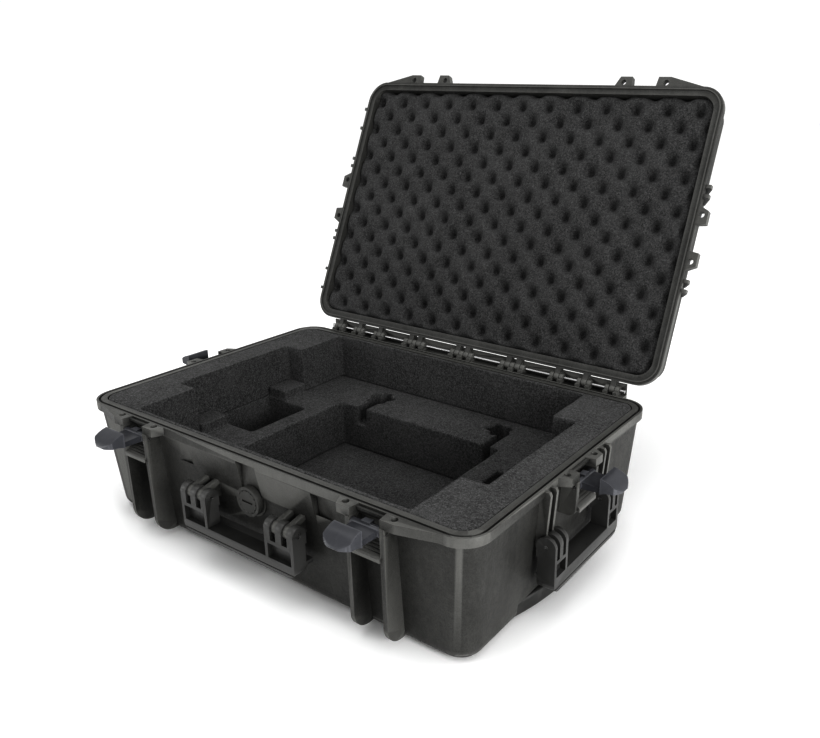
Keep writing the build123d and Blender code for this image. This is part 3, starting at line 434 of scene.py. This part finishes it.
def rounded(u, v, half):
    """Map the unit square to a rectangle with round corners, moving only points near a corner."""
    x = u * half[0]
    y = v * half[1]
    inner = half - FOAM_CORNER_R
    over_x = np.abs(x) - inner[0]
    over_y = np.abs(y) - inner[1]
    corner = (over_x > 0) & (over_y > 0)
    big = np.maximum(over_x, over_y)
    length = np.hypot(over_x, over_y)
    scale = np.where(corner & (length > 0), big / np.where(length > 0, length, 1), 1)
    x = np.where(corner, np.sign(x) * (inner[0] + over_x * scale), x)
    y = np.where(corner, np.sign(y) * (inner[1] + over_y * scale), y)
    return x, y


def sheet_solid(front, rear):
    """A closed mesh between two grids of points with the same rim."""
    rows, columns = front.shape[:2]
    mesh = bmesh.new()
    grids = []
    for grid in (front, rear):
        grids.append([[mesh.verts.new(grid[i, j]) for j in range(columns)] for i in range(rows)])
    a, b = grids
    for i in range(rows - 1):
        for j in range(columns - 1):
            mesh.faces.new((a[i][j], a[i][j + 1], a[i + 1][j + 1], a[i + 1][j]))
            mesh.faces.new((b[i][j], b[i + 1][j], b[i + 1][j + 1], b[i][j + 1]))
    ring = [(i, 0) for i in range(rows)]
    ring += [(rows - 1, j) for j in range(1, columns)]
    ring += [(i, columns - 1) for i in range(rows - 2, -1, -1)]
    ring += [(0, j) for j in range(columns - 2, 0, -1)]
    for (i, j), (k, m) in zip(ring, ring[1:] + ring[:1]):
        mesh.faces.new((a[i][j], a[k][m], b[k][m], b[i][j]))
    bmesh.ops.recalc_face_normals(mesh, faces=mesh.faces)
    for face in mesh.faces:
        face.smooth = True
    data = bpy.data.meshes.new("sheet_solid")
    mesh.to_mesh(data)
    mesh.free()
    return data


# ---------------------------------------------------------------- camera, floor and light
CAMERA_AT = Vector((0.71217, -0.78358, 0.60061))
CAMERA_TURN = (70.681, 34.535, 0.322)    # degrees: tilt from straight down, azimuth and roll
LENS_MM = 35.477
SENSOR_MM = 36.0
SHIFT = (-0.0718, -0.0132)
FLOOR_HALF = 12
FLOOR_DROP = 0.0004          # under the case's lowest face
FLOOR_TONES = (0.97, 0.98)
WORLD_STRENGTH = 1.05
DISPLAY_GAMMA = 0.60         # below 1 deepens the dark plastics against the white ground
SOFTBOXES = (                # name, place, aim, size, watts
    ("overhead", (-0.3, -0.3, 2.6), (0, 0, 0.1), (2.4, 2.0), 18),
    ("key_right", (2.6, -0.8, 1.0), (0.2, 0, 0.1), (0.9, 1.0), 55),
    ("front_left", (-1.9, -1.9, 0.9), (-0.2, -0.2, 0.1), (1.0, 0.9), 10),
)


def place_camera():
    data = bpy.data.cameras.new("camera")
    data.sensor_width = SENSOR_MM
    data.lens = LENS_MM
    data.shift_x, data.shift_y = SHIFT
    data.clip_end = 50
    camera = bpy.data.objects.new("camera", data)
    camera.location = CAMERA_AT
    tilt, azimuth, roll = [math.radians(angle) for angle in CAMERA_TURN]
    turn = Euler((tilt, 0, azimuth)).to_matrix() @ Matrix.Rotation(roll, 3, "Z")
    camera.rotation_euler = turn.to_euler()
    bpy.context.scene.collection.objects.link(camera)
    bpy.context.scene.camera = camera


def floor():
    mesh = bmesh.new()
    bmesh.ops.create_grid(mesh, x_segments=1, y_segments=1, size=FLOOR_HALF)
    data = bpy.data.meshes.new("floor")
    mesh.to_mesh(data)
    mesh.free()
    obj = bpy.data.objects.new("floor", data)
    obj.location = (0, 0, -FLOOR_DROP)
    bpy.context.scene.collection.objects.link(obj)
    g = Graph("floor_paper")
    low, high = FLOOR_TONES
    g.colour(g.ramp(g.noise(scale=3, detail=3), grey(low), grey(high)))
    g.set(Roughness=0.9, Specular_IOR_Level=0.1)
    data.materials.append(g.material)


def softbox(name, place, aim, size, power):
    data = bpy.data.lights.new(name, "AREA")
    data.shape = "RECTANGLE"
    data.size, data.size_y = size
    data.energy = power
    obj = bpy.data.objects.new(name, data)
    obj.location = place
    obj.rotation_euler = (Vector(aim) - Vector(place)).to_track_quat("-Z", "Y").to_euler()
    bpy.context.scene.collection.objects.link(obj)


def studio():
    world = bpy.data.worlds.new("studio")
    world.use_nodes = True
    background = world.node_tree.nodes["Background"]
    background.inputs["Color"].default_value = (1, 1, 1, 1)
    background.inputs["Strength"].default_value = WORLD_STRENGTH
    bpy.context.scene.world = world
    for box in SOFTBOXES:
        softbox(*box)
    bpy.context.scene.view_settings.view_transform = "Standard"
    bpy.context.scene.view_settings.gamma = DISPLAY_GAMMA


# ---------------------------------------------------------------- build
place_camera()
floor()
studio()
for node_name, node in NODES.items():
    carry_over(node_name, node)
lid_foam()
foam_from(["base_foam_top"], "base_foam_frame")
foam_from(["base_foam_low", "base_foam_mid"], "base_foam_pockets")
foam_from(["base_foam_floor"], "base_foam_pocket_floor")
